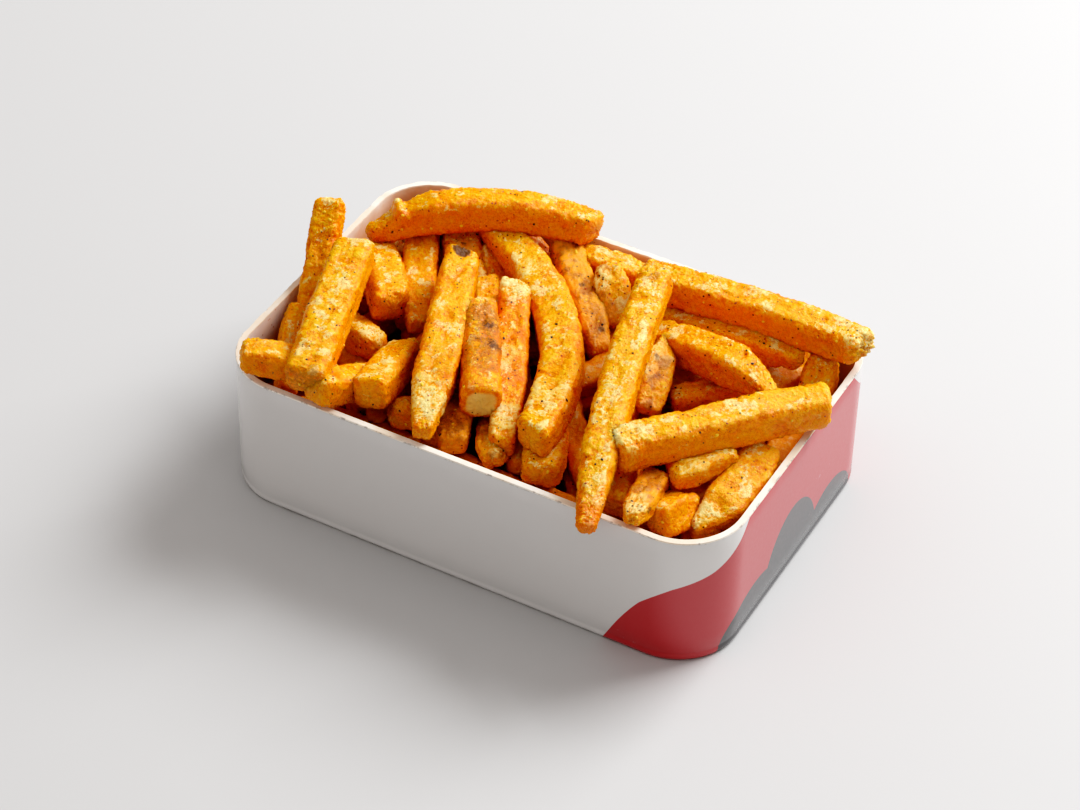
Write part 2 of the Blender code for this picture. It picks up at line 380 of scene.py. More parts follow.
printLooks = dict(
    board=(0.70, 0.685, 0.67), red=(0.50, 0.016, 0.024), dark=(0.045, 0.042, 0.045),
    scuff=(0.62, 0.60, 0.57), bare=(0.30, 0.25, 0.22),
    # height of the red field over the distance from the right end's middle, both in millimetres
    field=((0, 60), (22, 60), (29, 47), (37, 37), (46, 31), (57, 27), (66, 19), (73, 8), (80, -8)),
    hills=((-25, 18, 13), (-3, 17, 23), (22, 15, 12)))   # middle, half width, height


def printedBoard():
    # white coated board with a red field round the right end and dark hills at its foot
    s = Shader("printedBoard", Coat_Weight=1.0, Coat_Roughness=0.22, Coat_IOR=1.7)
    look = printLooks
    way, z, _ = s.wire("ShaderNodeUVMap", {"uv_map": "print"}).parts()
    straight = carton["length"] + carton["depth"] - 4 * carton["radius"]
    total = 2 * straight + 2 * math.pi * carton["radius"]
    along = way - way.step(total / 2 - 0.01, total / 2 + 0.01) * total     # 0 at the right end's middle
    stops = [(away / 100, [(height + 20) / 100] * 3) for away, height in look["field"]]
    ramp = {"stops": stops, "easing": "B_SPLINE"}
    level = s.wire("ShaderNodeValToRGB", ramp, (along.abs() / 100,)).parts()[0] * 100 - 20
    field = (level - z).step(-0.12, 0.12)
    hills = None
    for middle, half, top in look["hills"]:
        across = (along - middle) / half
        inside = (1 - across * across - (z / top) ** 2).step(-0.01, 0.02)
        hills = inside if hills is None else hills.above(inside)
    place = s.place()
    fibre = s.noise(place, 900, 3, 0.6)
    cloud = s.noise(place, 45, 3, 0.5)
    scuff = s.noise(place, 260, 4, 0.7).step(0.66, 0.74) * cloud.step(0.5, 0.65)
    white = s.blend(cloud * 0.5, look["board"], [c * 0.95 for c in look["board"]])
    colour = s.blend(field, white, look["red"])
    colour = s.blend(hills, colour, look["dark"])
    colour = s.blend(scuff * 0.2, colour, look["scuff"])
    chips = s.noise(place, 330, 3, 0.6).step(0.57, 0.64) * z.step(42.2, 42.8)
    foot = z.step(1.3, 0.5) * s.noise(place, 150, 2, 0.5).step(0.4, 0.6)
    colour = s.blend((chips + foot * 0.5).clamp() * 0.75, colour, look["bare"])
    s.paint(Base_Color=colour, Roughness=0.5 + fibre * 0.12)
    s.bump(fibre, 0.1, 0.0001)
    return s.material


edgeLooks = dict(fibre=((0.84, 0.76, 0.65), (0.90, 0.86, 0.79)), grease=(0.78, 0.58, 0.38),
                 worn=(0.26, 0.22, 0.20))


def cutEdge():
    # the cut rim of the board: pale fibres, with a dark worn line and nicks at its outer corner
    s = Shader("cutEdge")
    place = s.place()
    inset = s.attribute("inset")
    fibre = s.noise(place, 1400, 4, 0.7)
    nicks = s.noise(place, 420, 3, 0.6)
    worn = (0.26 - inset).step(0, 0.2) * nicks.step(0.52, 0.64)
    greasy = s.noise(place, 55, 3, 0.6).step(0.46, 0.6)
    colour = s.blend(fibre, *edgeLooks["fibre"])
    colour = s.blend(greasy * 0.45, colour, edgeLooks["grease"])
    colour = s.blend(worn * 0.6, colour, edgeLooks["worn"])
    s.paint(Base_Color=colour, Roughness=0.72 + fibre * 0.15)
    s.bump(fibre + nicks, 0.5, 0.0002)
    return s.material


innerLooks = dict(board=((0.80, 0.74, 0.68), (0.84, 0.80, 0.76)), oil=(0.66, 0.33, 0.12),
                  spice=(0.45, 0.12, 0.02), greaseShadeHeights=(45, 33))   # the grease stain and the painted shade fade between these heights


def innerBoard():
    # uncoated inner face, with grease and spice stains near the fries, and painted shade darkening it
    # towards the bottom
    s = Shader("innerBoard")
    place = s.place()
    _, y, z = place.parts()
    fibre = s.noise(place, 900, 3, 0.6)
    cloud = s.noise(place, 60, 4, 0.6)
    # browner and darker towards the bottom near the fries: partly a real grease stain, partly painted
    # shade
    reach = (z / mm + (cloud - 0.5) * 22 - y * 60).step(*innerLooks["greaseShadeHeights"])
    colour = s.blend(fibre * 0.5, *innerLooks["board"])
    colour = s.blend(reach * 0.75, colour, innerLooks["oil"])
    dots = s.cells(place, 420).step(0.16, 0.08)
    colour = s.blend(dots * cloud.step(0.5, 0.6) * 0.6, colour, innerLooks["spice"])
    s.paint(Base_Color=colour, Roughness=0.7 - reach * 0.25)
    s.bump(fibre, 0.25, 0.0001)
    return s.material


# the fries that show, by where they lie: ends and middle of the bend in millimetres, tips as shares of the
# thickness, and patches as (place along, way round in degrees, size, tint: brown over 0, pale under 0; on
# skin-on pieces the pale patches are partly painted glints)

friesLeft = dict(
    backLong=dict(start=(-69, 16, 48), bend=(-43, 36, 52), end=(-12, 47.5, 49), width=10.6, height=10.4,
        tips=(0.5, 0.9), turn=10, lean=(-1, 0), knob=(10, 2.6, 100)),
    leftUpright=dict(start=(-76, 9, 60), bend=(-70, -10, 43), end=(-63, -29, 26), width=8.4, height=8.4,
        tips=(0.95, 0.9)),
    leftThick=dict(start=(-62, -1, 55), bend=(-54, -28, 53), end=(-47, -53, 50.5), width=11.4, height=9.6,
        tips=(0.95, 0.95), brownEnd=0.7, tone=0.8),
    leftCorner=dict(start=(-67, -52, 50.5), bend=(-58, -46, 48), end=(-47, -38, 42), width=9, height=8,
        tips=(0.85, 0.85), patches=((6, 100, 4, 0.55), (17, 60, 4, 0.4))),
    leftSliver=dict(start=(-70, -19, 43), bend=(-66, -30, 38), end=(-60, -42, 33), width=6.8, height=6.8,
        tips=(0.8, 0.8), turn=20, tone=-0.5),
    leftStub=dict(start=(-66, 17, 40), bend=(-57, 5, 42), end=(-48, -6, 43), width=11, height=10,
        tips=(0.8, 0.95), turn=8),
    leftKnuckle=dict(start=(-62, -9, 34), bend=(-53, -15, 37), end=(-44, -19, 39), width=9, height=9,
        tips=(0.9, 0.7), turn=15, patches=((18, 90, 4, -0.8),)),
    frontLeftLow=dict(start=(-43, -53, 49.5), bend=(-40, -38, 42), end=(-36, -21, 32), width=9.2,
        height=8.6, tips=(0.9, 0.9)),
    frontLeftHigh=dict(start=(-38, -14, 37), bend=(-34, -31, 43), end=(-31, -45, 47), width=10.5,
        height=9.2, tips=(0.85, 0.95), turn=-12, patches=((30, 200, 5, 0.5), (24, 90, 4, -0.5))),
    backShard=dict(start=(-66, 26, 38), bend=(-58, 17, 34), end=(-50, 7, 30), width=6.5, height=5,
        tips=(0.5, 0.6), turn=30, tone=0.6),
    backLeftRun=dict(start=(-61, 36, 42), bend=(-51, 15, 39), end=(-40, -4, 38), width=10, height=9,
        tips=(0.95, 0.6)),
    backSkin=dict(start=(-53, 40, 42), bend=(-41, 24, 38.5), end=(-26, 5, 35), width=11, height=9,
        tips=(0.9, 0.9), turn=5, skin=0.25, skinSide=90))

friesMiddle = dict(
    frontLong=dict(start=(-37, 16, 50), bend=(-23, -20, 49), end=(-11, -51, 46.5), width=11, height=10,
        tips=(0.85, 0.45), turn=4, spice=0.3,
        patches=((2.0, 85, 2.6, 1.9), (46, 110, 9, 0.45), (60, 90, 8, -0.8))),
    middleChip=dict(start=(-40, 35, 40), bend=(-33, 26, 36), end=(-27, 17, 32), width=8, height=8,
        tips=(0.8, 0.8), turn=15, tone=-0.3),
    banana=dict(start=(-42, 39, 44), bend=(-1, 7, 44), end=(15, -38, 46), width=11.8, height=11,
        tips=(0.75, 0.85), turn=-6, tone=0.3, patches=((24, 60, 5, -0.5), (84, 60, 6, -0.6))),
    middleLow=dict(start=(-32, 20, 40), bend=(-23, 6, 38), end=(-14, -9, 35), width=9, height=9,
        tips=(0.85, 0.9), tone=-0.2),
    cutEnd=dict(start=(-23, 0, 49), bend=(-13, -17, 48), end=(-3, -33, 47), width=11, height=11,
        tips=(0.85, 1.0), turn=6, wrinkle=0.25, square=2.7, cut=1, spice=0.7,
        patches=((8, 95, 6, 0.95), (25, 85, 7, 0.8), (16, 140, 6, 0.8))),
    crinkled=dict(start=(-20, 16, 46), bend=(-6, -12, 43), end=(7, -39, 40), width=9, height=9,
        tips=(0.95, 0.7), wrinkle=0.5, spice=0.8,
        patches=((2, 90, 5, -1.2), (30, 60, 5, -0.5), (54, 90, 6, -0.7))),
    frontNub=dict(start=(-27, -41, 40), bend=(-22, -37, 38), end=(-16, -31, 35), width=7.8, height=7.8,
        tips=(0.75, 0.9), turn=10, brownStart=0.6),
    frontBrown=dict(start=(-6, -43, 38), bend=(-13, -31, 37), end=(-21, -18, 34), width=9.6, height=9,
        tips=(0.7, 0.9), skin=0.7, skinSide=90, tone=-0.6, patches=((5, 100, 5, 0.9),)),
    frontCurl=dict(start=(6, -43, 38), bend=(2, -35, 37), end=(-3, -26, 34), width=8.2, height=8,
        tips=(0.6, 0.9), turn=20, skin=0.6, skinSide=70, wrinkle=0.8,
        patches=((4, 60, 4, -1), (8, 120, 3, 0.7))),
    frontBlunt=dict(start=(20, -42, 38), bend=(16, -31, 37), end=(10, -19, 34), width=11.5, height=9,
        tips=(0.85, 0.9), tone=0.4),
    backSpotted=dict(start=(-21, 45, 43), bend=(-7, 30, 40), end=(9, 13, 37), width=9.6, height=9,
        tips=(0.85, 0.6), turn=8, skin=0.6, skinSide=80, wrinkle=0.3,
        patches=((7, 110, 1.5, 1.1), (17, 50, 1.5, 1.1), (26, 95, 2.4, 1.0))),
    backTwig=dict(start=(-35, 45, 40), bend=(-30, 43, 38), end=(-23, 40, 34), width=7, height=7,
        tips=(0.6, 0.8), tone=-0.3, spice=1),
    backPale=dict(start=(-14.5, 43, 41), bend=(-5, 44, 41), end=(5, 45, 40), width=8, height=7.2,
        tips=(0.8, 0.8), tone=0.4),
    backPeel=dict(start=(-2, 38, 46), bend=(3, 32, 41), end=(8, 26, 36), width=9.6, height=8.6,
        tips=(0.7, 0.9), turn=-10, skin=0.3, skinSide=60, wrinkle=0.8,
        patches=((5, 60, 3.5, -1.1), (12, 150, 2.5, -1))))

friesRight = dict(
    overhang=dict(start=(19.5, 25, 59), bend=(30.5, -20, 54), end=(44, -61, 45.5), width=10.2, height=9,
        tips=(0.9, 0.5), redEnd=2.0, tone=0.6, patches=((81, 120, 5, -0.3), (3, 90, 2, 0.9))),
    rightRimLong=dict(start=(10, 35, 49), bend=(43, 36.5, 50), end=(77, 36, 51), width=10.5, height=10,
        tips=(0.9, 0.9), torn=1.8, patches=((67, 90, 5, -0.9), (67, 200, 4, -0.6))),
    rightShadow=dict(start=(17, 30, 41), bend=(40, 30.5, 43), end=(62, 30, 44), width=8.2, height=7.8,
        tips=(0.9, 0.6)),
    rightWedge=dict(start=(23, 21, 42), bend=(43, 15, 48), end=(65, 5, 54), width=10.5, height=9.6,
        tips=(0.9, 0.4), lean=(0, -0.8), tone=0.3, patches=((40, 60, 6, 0.5), (47, 0, 4, 0.8))),
    rightStub=dict(start=(67, 36, 43), bend=(68, 30, 38), end=(69, 22, 32), width=9.6, height=9.6,
        tips=(0.75, 0.9)),
    rightCross=dict(start=(38.5, -36, 51), bend=(58, -13, 50.5), end=(79, 11, 50), width=10.8, height=10.8,
        tips=(0.95, 0.92), tone=0.5, patches=((4, 90, 6, -0.5),)),
    rightLeaf=dict(start=(27, 16, 48), bend=(30, 5, 44), end=(33, -6, 40), width=8.6, height=5.5,
        tips=(0.15, 0.8), turn=20, skin=0.3, skinSide=90, wrinkle=0.3,
        patches=((8, 0, 7, -0.5), (14, 90, 1.4, 1.0))),
    rightLow=dict(start=(21, 10, 38), bend=(25, -2, 38), end=(28, -14, 38), width=9, height=9,
        tips=(0.9, 0.9), tone=-0.4),
    rightUnder=dict(start=(36, 4, 37), bend=(46, 12, 38), end=(56, 20, 38), width=8.2, height=8.2,
        tips=(0.85, 0.9)),
    rightPale=dict(start=(54, -31, 44), bend=(58, -22, 44), end=(63, -14, 43.5), width=8.2, height=7.2,
        tips=(0.6, 0.9), tone=0.9, patches=((8, 90, 6, -0.5),)),
    cornerWide=dict(start=(68, -5, 41), bend=(68.5, -21, 38.5), end=(65, -38, 37), width=11.5, height=8.5,
        tips=(0.8, 0.3), turn=12, skin=0.3, skinSide=0, tone=0.3, patches=((31, 60, 5, -1.1),)),
    cornerCube=dict(start=(56, -44, 40), bend=(57.5, -38, 39), end=(59, -31, 36), width=9, height=9,
        tips=(0.95, 0.95), turn=24, square=7.0, tone=-0.2),
    cornerTwist=dict(start=(49, -30, 41), bend=(51, -41, 44), end=(53, -53, 46.5), width=7.8, height=6.4,
        tips=(0.9, 0.5), skin=0.7, skinSide=120, wrinkle=0.8, tone=-0.3,
        patches=((21, 90, 5, -0.8), (8, 120, 5, 0.8), (14, 60, 3, 0.9))),
    cornerShadow=dict(start=(36, -25, 38), bend=(39.5, -33, 38), end=(43, -42, 37.5), width=9, height=9,
        tips=(0.9, 0.85), tone=-0.5))

# painted shade: the bed fries' crust is darkened by shade and tone, since they lie under the heap
bed = dict(heights=(33, 26.5), drop=dict(front=4, leftEnd=3, rightEnd=3), thickness=(7.6, 9.5),
           flatness=0.9, tips=(0.8, 0.85), rise=1, slope=1.5, turn=15, tone=-0.3, shade=0.8,
           gloss=0.3, detail=0.5, seed=11, lanes=dict(
        front=dict(first=(-40, -42.5), last=(40, -42.5), count=3, length=44, heading=0, spread=5),
        frontHalf=dict(first=(-53, -19), last=(54, -19), count=7, length=42, heading=115, spread=20),
        backHalf=dict(first=(-54, 18), last=(53, 18), count=7, length=42, heading=62, spread=20),
        back=dict(first=(-40, 42.5), last=(40, 42.5), count=3, length=44, heading=0, spread=5),
        leftEnd=dict(first=(-67.5, -15), last=(-67.5, 16), count=2, length=32, heading=90, spread=5),
        rightEnd=dict(first=(67.5, -15), last=(67.5, 16), count=2, length=32, heading=90, spread=5)))

crust = dict(plump=1.05, sides=72, ringsPerMm=2.1, capRings=6, squareness=(3.3, 4.6), cave=0.05,
             swell=0.09, twist=9, roundOff=1.5, roundShare=0.2, taper=0.3, crowding=0.45, endReach=9,
             slant=0.35, bulge=0.9, shred=4, knobReach=2.6, brownReach=9, redReach=16, wobble=0.7,
             blister=0.16, crumb=0.46, dent=0.45, wrinkleDepth=0.6)   # millimetres and shares


def bedFries():
    # the loose layer round and under the fries that show
    chance = random.Random(bed["seed"])
    rows = {}
    lanes = [(name, level, height) for level, height in enumerate(bed["heights"]) for name in bed["lanes"]]
    for name, level, height in lanes:
        lane = bed["lanes"][name]
        depth = height - bed["drop"].get(name, 0)
        first, last = (Vector((*lane[k], depth)) for k in ("first", "last"))
        for number in range(lane["count"]):
            middle = first.lerp(last, number / (lane["count"] - 1))
            middle.z += chance.uniform(-bed["rise"], bed["rise"])
            heading = math.radians(lane["heading"] + chance.uniform(-lane["spread"], lane["spread"]))
            half = Vector((math.cos(heading), math.sin(heading), 0)) * lane["length"] / 2
            half.z = chance.uniform(-bed["slope"], bed["slope"])
            width = chance.uniform(*bed["thickness"])
            turn = chance.uniform(-bed["turn"], bed["turn"])
            rows[f"{name}{level}{number}"] = dict(start=middle - half, bend=middle, end=middle + half,
                                                  width=width, height=width * bed["flatness"],
                                                  tips=bed["tips"], turn=turn, tone=bed["tone"])
    return rows


def fryShape():
    # one fry: a tube's points moved onto a soft square section along a bend, then given its crust
    kinds = dict(
        Vector=("Start", "Bend", "End", "Patch 1", "Patch 2", "Patch 3"), Int=("Sides", "Rings"),
        Material=("Material",),
        Float=("Width", "Height", "Start Tip", "End Tip", "Turn", "Square", "Start Lean", "End Lean",
               "Knob At", "Knob Rise", "Knob Side", "Start Slant", "End Slant", "Start Bulge",
               "End Bulge", "Torn", "Seed", "Skin", "Skin Side", "Wrinkle", "Tone", "Spice",
               "Brown Start", "Brown End", "Red End", "Cut", "Tint 1", "Tint 2", "Tint 3"))
    g = Shape("fry", {label: kind for kind, labels in kinds.items() for label in labels})
    c = crust
    tube = g.node("GeometryNodeMeshCylinder", {"fill_type": "TRIANGLE_FAN"},
                  {"Vertices": g.given("Sides"), "Side Segments": g.given("Rings"),
                   "Fill Segments": c["capRings"], "Radius": 1, "Depth": 1})
    # laid along the bend the tube is inside out, so its faces are turned first
    mesh = g.wire("GeometryNodeFlipFaces", None, {"Mesh": Wire(g, tube.outputs["Mesh"])})
    x, y, z = g.wire("GeometryNodeInputPosition").parts()
    out = (x * x + y * y) ** 0.5
    cos, sin = x / out.above(0.0001), y / out.above(0.0001)
    share = z + 0.5
    share = share - (share * (2 * math.pi)).sum("SINE") * (c["crowding"] / (2 * math.pi))
    onStart, onEnd = (share * 1000).step(1, 0.5), (share * 1000).step(999, 999.5)

    start, bend, end = g.given("Start"), g.given("Bend"), g.given("End")
    width, height, seed = g.given("Width"), g.given("Height"), g.given("Seed")
    length = g.vector("DISTANCE", start, bend) + g.vector("DISTANCE", bend, end)
    along = share * length

    # section
    bulk = g.given("Square")
    square = (cos.abs() ** bulk + sin.abs() ** bulk).above(0.1) ** (-1 / bulk)
    double = cos * cos - sin * sin
    square = square * (1 - double * double * c["cave"])
    seeded = g.combine(seed * 13.7, seed * 7.1, along / 15 + seed * 31.3)
    around = g.added(g.combine(cos * 0.7, sin * 0.7, 0), seeded)
    swell = 1 + (g.noise(around, 1, 2) - 0.5) * (2 * c["swell"])
    first, last = (1 - share / c["taper"]).clamp(), (1 - (1 - share) / c["taper"]).clamp()
    lostStart, lostEnd = (1 - g.given("Start Tip")) * first, (1 - g.given("End Tip")) * last
    thin = 1 - lostStart - lostEnd
    toEnd = along.below(length - along)
    edge = (1 - toEnd / c["roundOff"]).clamp()
    thin = thin * swell * square * (1 - edge * edge * c["roundShare"]) * out
    u, v = cos * width * 0.5 * thin, sin * height * 0.5 * thin
    turn = g.given("Turn") + (share - 0.5) * math.radians(c["twist"]) * (g.noise(seeded, 0.05) * 4 - 2)
    turnCos, turnSin = turn.sum("COSINE"), turn.sum("SINE")
    across, rise = u * turnCos - v * turnSin, u * turnSin + v * turnCos
    rise = rise + (g.given("Start Lean") * lostStart + g.given("End Lean") * lostEnd) * height * 0.5
    knobAngle = g.given("Knob Side")
    knob = (1 - ((along - g.given("Knob At")) / c["knobReach"]).abs()).clamp()
    knob = knob * knob * (3 - knob * 2) * g.given("Knob Rise")
    knob = knob * (cos * knobAngle.sum("COSINE") + sin * knobAngle.sum("SINE")).step(0.2, 1) * out
    across, rise = across + knob * knobAngle.sum("COSINE"), rise + knob * knobAngle.sum("SINE")

    # oblique, bulged and torn ends
    rest = length - along
    nearStart, nearEnd = [(1 - far / c["endReach"]).clamp() for far in (along, rest)]
    slide = g.given("Start Slant") * u * nearStart + g.given("End Slant") * u * nearEnd
    dome = 1 - out * out
    slide = slide - onStart * dome * g.given("Start Bulge") + onEnd * dome * g.given("End Bulge")
    shred = g.noise(g.combine(u * 0.55, v * 0.55, seed), 1, 4, 0.7) - 0.45
    slide = slide + shred * g.given("Torn") * c["shred"] * nearEnd * nearEnd
    t = (along + slide) / length

    # place on the bend
    pull = g.vector("SUBTRACT", g.scaled(bend, 2), g.scaled(g.added(start, end), 0.5))
    back = 1 - t
    middle = g.added(g.scaled(start, back * back), g.scaled(pull, t * back * 2))
    middle = g.added(middle, g.scaled(end, t * t))
    heading = g.added(g.scaled(g.vector("SUBTRACT", pull, start), back),
                      g.scaled(g.vector("SUBTRACT", end, pull), t))
    heading = g.vector("NORMALIZE", heading)
    side = g.vector("NORMALIZE", g.vector("CROSS_PRODUCT", heading, (0, 0, 1)))
    up = g.vector("CROSS_PRODUCT", side, heading)
    drift = g.combine(seed * 3.3, along / 24, seed * 5.9)
    sway = (g.noise(drift, 1, 1) - 0.5) * (2 * c["wobble"])
    place = g.added(middle, g.scaled(side, across + sway))
    place = g.scaled(g.added(place, g.scaled(up, rise)), mm)

    # what the crust and the colour follow
    grain = g.combine(u + seed * 41, v + seed * 17, along + slide + seed * 29)
    skinSide = g.given("Skin Side")
    facing = (cos * skinSide.sum("COSINE") + sin * skinSide.sum("SINE")) * out
    patch = g.noise(grain, 0.22, 3, 0.6) - 0.5
    skin = (facing + patch * 0.9 - 1.35 + g.given("Skin") * 1.5).step(-0.06, 0.1)
    skin = skin * (g.given("Skin") * 10).clamp()
    brown = g.given("Brown Start") * (1 - along / c["brownReach"] + patch * 1.4).clamp()
    brown = brown + g.given("Brown End") * (1 - rest / c["brownReach"] + patch * 1.4).clamp()
    white = 0
    for number in ("1", "2", "3"):
        at, angle, size = g.given("Patch " + number).parts()
        off = 1 - (cos * angle.sum("COSINE") + sin * angle.sum("SINE"))
        away = ((along - at) ** 2 + off * 50) ** 0.5 / size
        mask = (1.25 - away + patch * 1.6).step(0, 0.6)
        tint = g.given("Tint " + number)
        brown = brown + mask * tint.above(0)
        white = white + mask * (-tint).above(0)
    red = g.given("Red End") * (1 - rest / c["redReach"] + patch).clamp()
    cut = (onStart + onEnd) * out.step(0.97, 0.8) * g.given("Cut")
    corner = (1 - double.abs()).step(0.6, 0.95) * out.step(0.6, 0.9)
    mesh = g.keep(mesh, "grain", grain, "FLOAT_VECTOR")
    kept = dict(skin=skin, brown=brown, white=white, spice=g.given("Spice") + red, cut=cut,
                corner=corner, tone=g.given("Tone"))
    for label, value in kept.items():
        mesh = g.keep(mesh, label, value)
    mesh = g.wire("GeometryNodeSetPosition", None, {"Geometry": mesh, "Position": place})

    # crust
    # the upward share of each face, kept so that the crust colour can paint the tops lighter and the sides
    # darker (painted light and shade)
    mesh = g.keep(mesh, "upper", g.wire("GeometryNodeInputNormal").parts()[2])
    grain, skin = g.kept("grain", "FLOAT_VECTOR"), g.kept("skin")
    blister = g.noise(grain, 0.34, 2, 0.5).step(0.46, 0.66) * c["blister"]
    crumb = (g.noise(grain, 1.5, 3, 0.7).step(0.35, 0.7) - 0.4) * c["crumb"]
    dent = g.noise(grain, 0.17, 2, 0.5).step(0.46, 0.3) * c["dent"]
    gx, gy, gz = grain.parts()
    fold = (g.noise(g.combine(gx * 0.9, gy * 0.9, gz * 0.16), 1, 3, 0.6) - 0.5).abs() * 2
    crumpled = (skin + g.kept("white") + g.given("Wrinkle")).clamp()
    ridge = (0.35 - fold) * c["wrinkleDepth"] * crumpled
    mesh = g.keep(mesh, "relief", blister + crumb - dent + ridge)
    lift = g.scaled(g.wire("GeometryNodeInputNormal"), g.kept("relief") * mm)
    mesh = g.wire("GeometryNodeSetPosition", None, {"Geometry": mesh, "Offset": lift})
    return g.finish(g.wire("GeometryNodeSetShadeSmooth", None, {0: mesh}))


def gatherShape():
    # all objects of a collection as one mesh of one material
    g = Shape("gather", {"Pieces": "Collection", "Material": "Material"})
    return g.finish(g.wire("GeometryNodeCollectionInfo", None, {0: g.given("Pieces")}))


plainFry = dict(turn=0, lean=(0, 0), knob=(0, 0, 90), skin=0, skinSide=90, wrinkle=0, cut=0.1, torn=0.3,
                brownStart=0, brownEnd=0, redEnd=0, tone=0, spice=0, patches=())   # unless a row says


def makeFries(name, rows, material, fry, gather, detail=1.0):
    # each fry's draws hang on its name alone, so its looks stay when another row is changed
    home = bpy.data.collections.new(name)
    bpy.context.scene.collection.children.link(home)
    for key, row in rows.items():
        row = {**plainFry, **row}
        chance = random.Random(key)
        start, bend, end = (Vector(row[k]) for k in ("start", "bend", "end"))
        length = (bend - start).length + (end - bend).length
        square = chance.uniform(*crust["squareness"])
        slants = [chance.uniform(-crust["slant"], crust["slant"]) for _ in range(2)]
        bulges = [chance.uniform(0, crust["bulge"]) for _ in range(2)]
        values = {
            "Material": material, "Start": start, "Bend": bend, "End": end,
            "Width": row["width"] * crust["plump"], "Height": row["height"] * crust["plump"],
            "Turn": math.radians(row["turn"]), "Square": row.get("square", square),
            "Start Tip": row["tips"][0], "End Tip": row["tips"][1],
            "Start Lean": row["lean"][0], "End Lean": row["lean"][1],
            "Knob At": row["knob"][0], "Knob Rise": row["knob"][1],
            "Knob Side": math.radians(row["knob"][2]),
            "Start Slant": slants[0], "End Slant": slants[1], "Start Bulge": bulges[0],
            "End Bulge": bulges[1], "Torn": row["torn"], "Sides": int(crust["sides"] * detail / 4) * 4,
            "Rings": int(length * crust["ringsPerMm"] * detail), "Seed": chance.uniform(1, 9),
            "Skin": row["skin"], "Skin Side": math.radians(row["skinSide"]), "Wrinkle": row["wrinkle"],
            "Tone": row["tone"] + chance.uniform(-0.2, 0.2),
            "Spice": row["spice"] + chance.uniform(0, 0.25), "Cut": row["cut"],
            "Brown Start": row["brownStart"], "Brown End": row["brownEnd"], "Red End": row["redEnd"]}
        for number, (at, side, size, tint) in zip("123", (*row["patches"], *[(0, 0, 1, 0)] * 3)):
            values["Patch " + number] = Vector((at, math.radians(side), size))
            values["Tint " + number] = tint
        shaped(key, fry, values, home)
    whole = plain(shaped(name, gather, {"Pieces": home, "Material": material}))
    for piece in list(home.objects):
        bpy.data.objects.remove(piece, do_unlink=True)
    bpy.data.collections.remove(home)
    triangles = sum(len(face.vertices) - 2 for face in whole.data.polygons)
    print(name, len(rows), "fries,", triangles, "triangles")
    return whole


# deep also paints shade in the crust's hollows, on its sides and low in the heap; pale and white also
# paint highlights and glints
fryLooks = dict(deep=(1.0, 0.29, 0.001), orange=(1.0, 0.37, 0.001), golden=(1.0, 0.395, 0.001),
                pale=(1.0, 0.54, 0.025), white=(1.0, 0.77, 0.33), toast=(0.78, 0.23, 0.003),
                spice=(0.78, 0.14, 0.001), skin=(0.86, 0.34, 0.012), bark=(0.46, 0.145, 0.010),
                char=(0.085, 0.032, 0.012), cut=(1.0, 0.70, 0.24), pepper=(0.025, 0.014, 0.008))
pepperCells = 0.42   # cells per millimetre, half of which hold a dot


